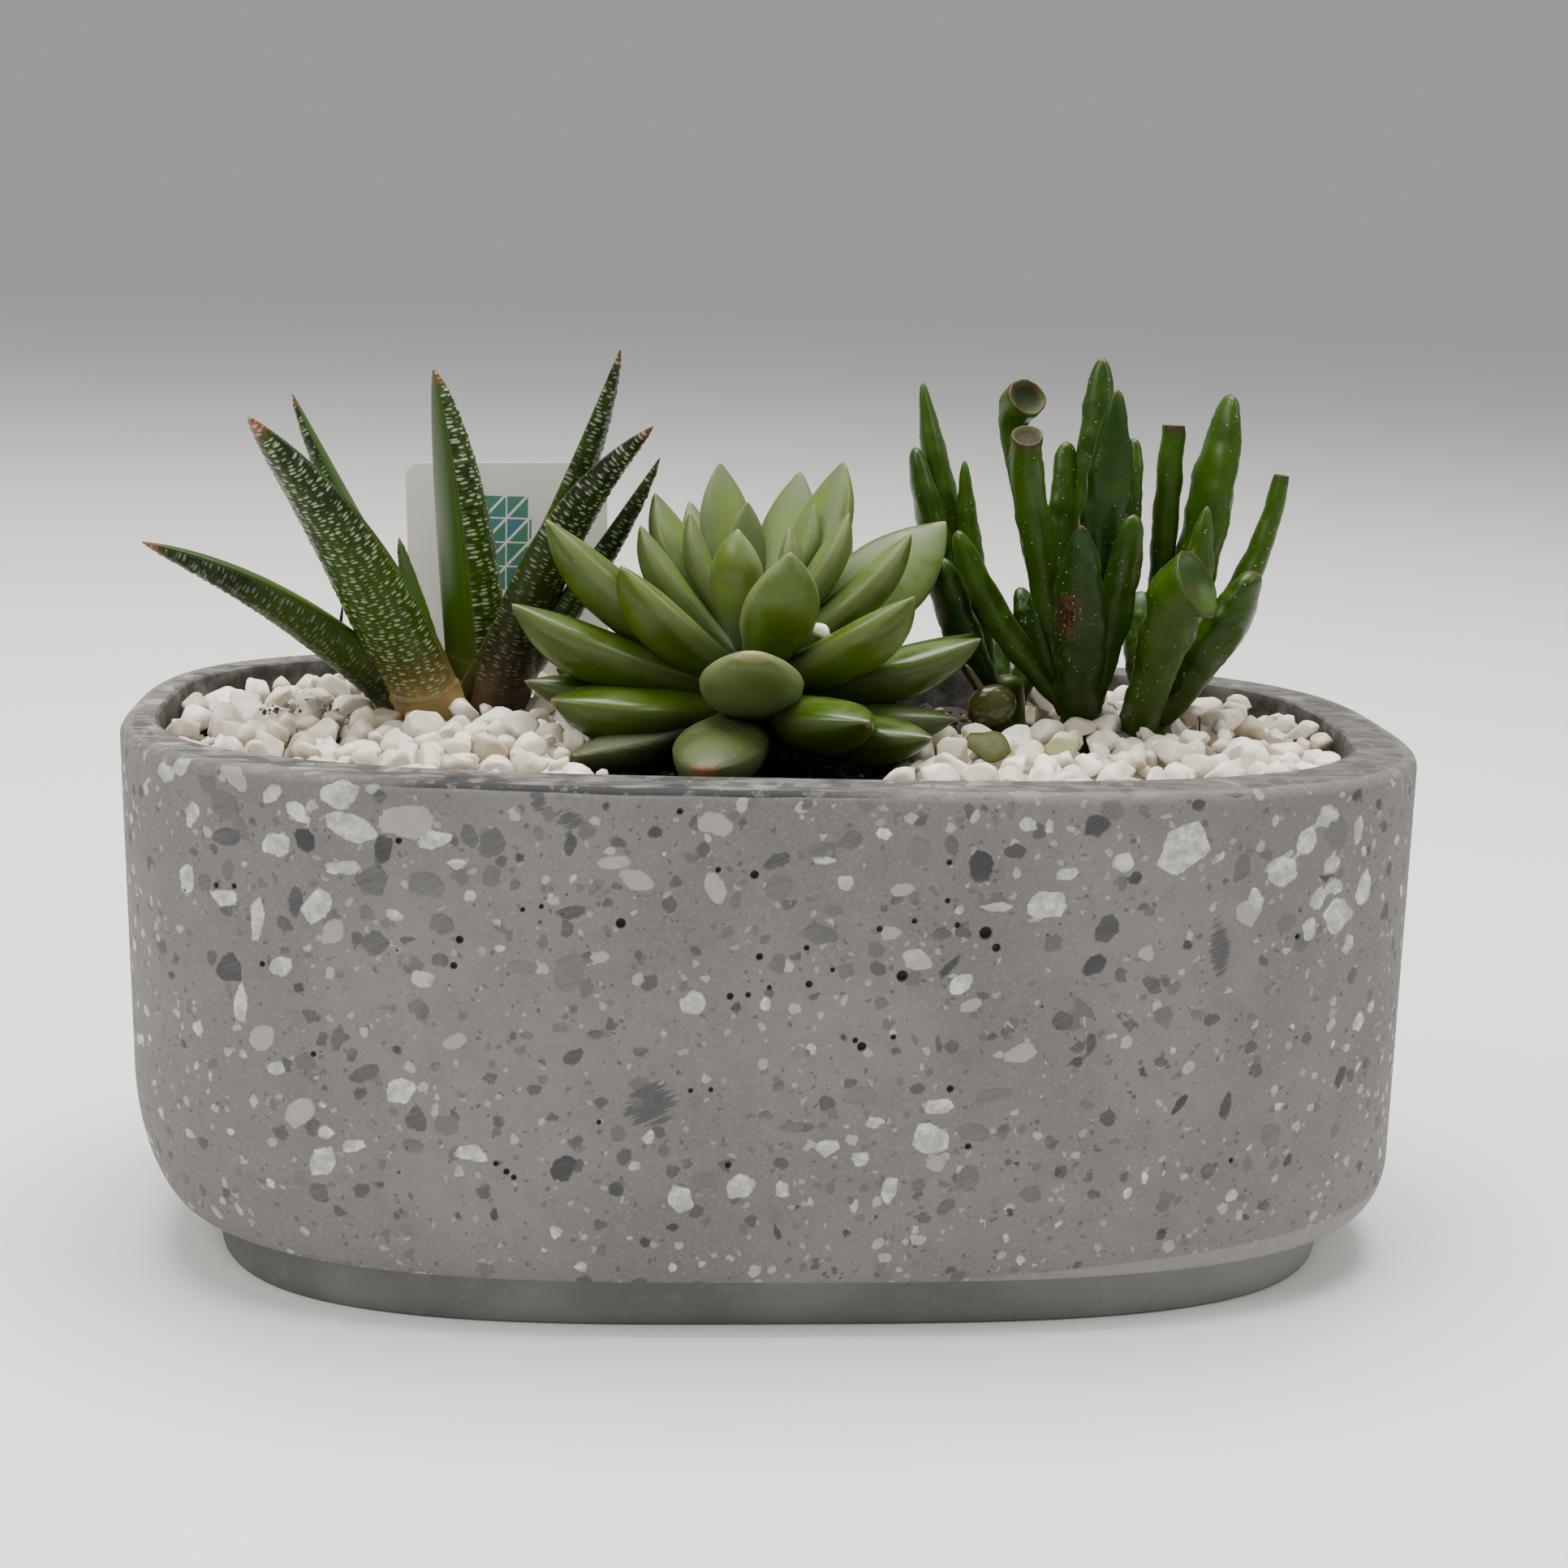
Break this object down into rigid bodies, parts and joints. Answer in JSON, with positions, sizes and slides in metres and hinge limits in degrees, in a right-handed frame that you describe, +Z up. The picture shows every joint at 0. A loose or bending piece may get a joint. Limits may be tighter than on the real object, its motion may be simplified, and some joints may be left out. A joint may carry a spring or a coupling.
{
  "type": "succulent planter",
  "caption": "Terrazzo concrete planter with a zebra haworthia, a rosette succulent, a finger-leaved jade plant, white pebbles and a plain plant tag.",
  "frame": {"origin": "middle of the pot's underside, at the height of the surface that it stands on", "axes": "+X along the pot's length towards the finger-leaved plant, -Y out of the front of the pot, +Z up"},
  "size_m": [0.2519, 0.1328, 0.1729],
  "materials": {
    "terrazzo": "ground concrete with pale and dark stone chips, dull",
    "soil": "dry dark potting soil",
    "pebble": "dull white stone",
    "zebra_leaf": "satin dark green leaf with raised white bands",
    "rosette_leaf": "waxy pale blue-green leaf with pink tips",
    "finger_leaf": "glossy green leaf with red-brown tips",
    "tag": "smooth white card",
    "fallen_leaf": "glossy olive leaf"
  },
  "bodies": {
    "root": {"terrazzo_pot": "terrazzo", "soil": "soil", "white_pebbles": "pebble", "zebra_plant": "zebra_leaf", "rosette_plant": "rosette_leaf", "finger_stem_left": "finger_leaf", "finger_stem_middle": "finger_leaf", "finger_stem_right": "finger_leaf", "plant_tag": "tag", "fallen_round_leaf": "fallen_leaf", "fallen_flat_leaf": "fallen_leaf", "caught_pebble": "pebble"}
  },
  "joints": []
}
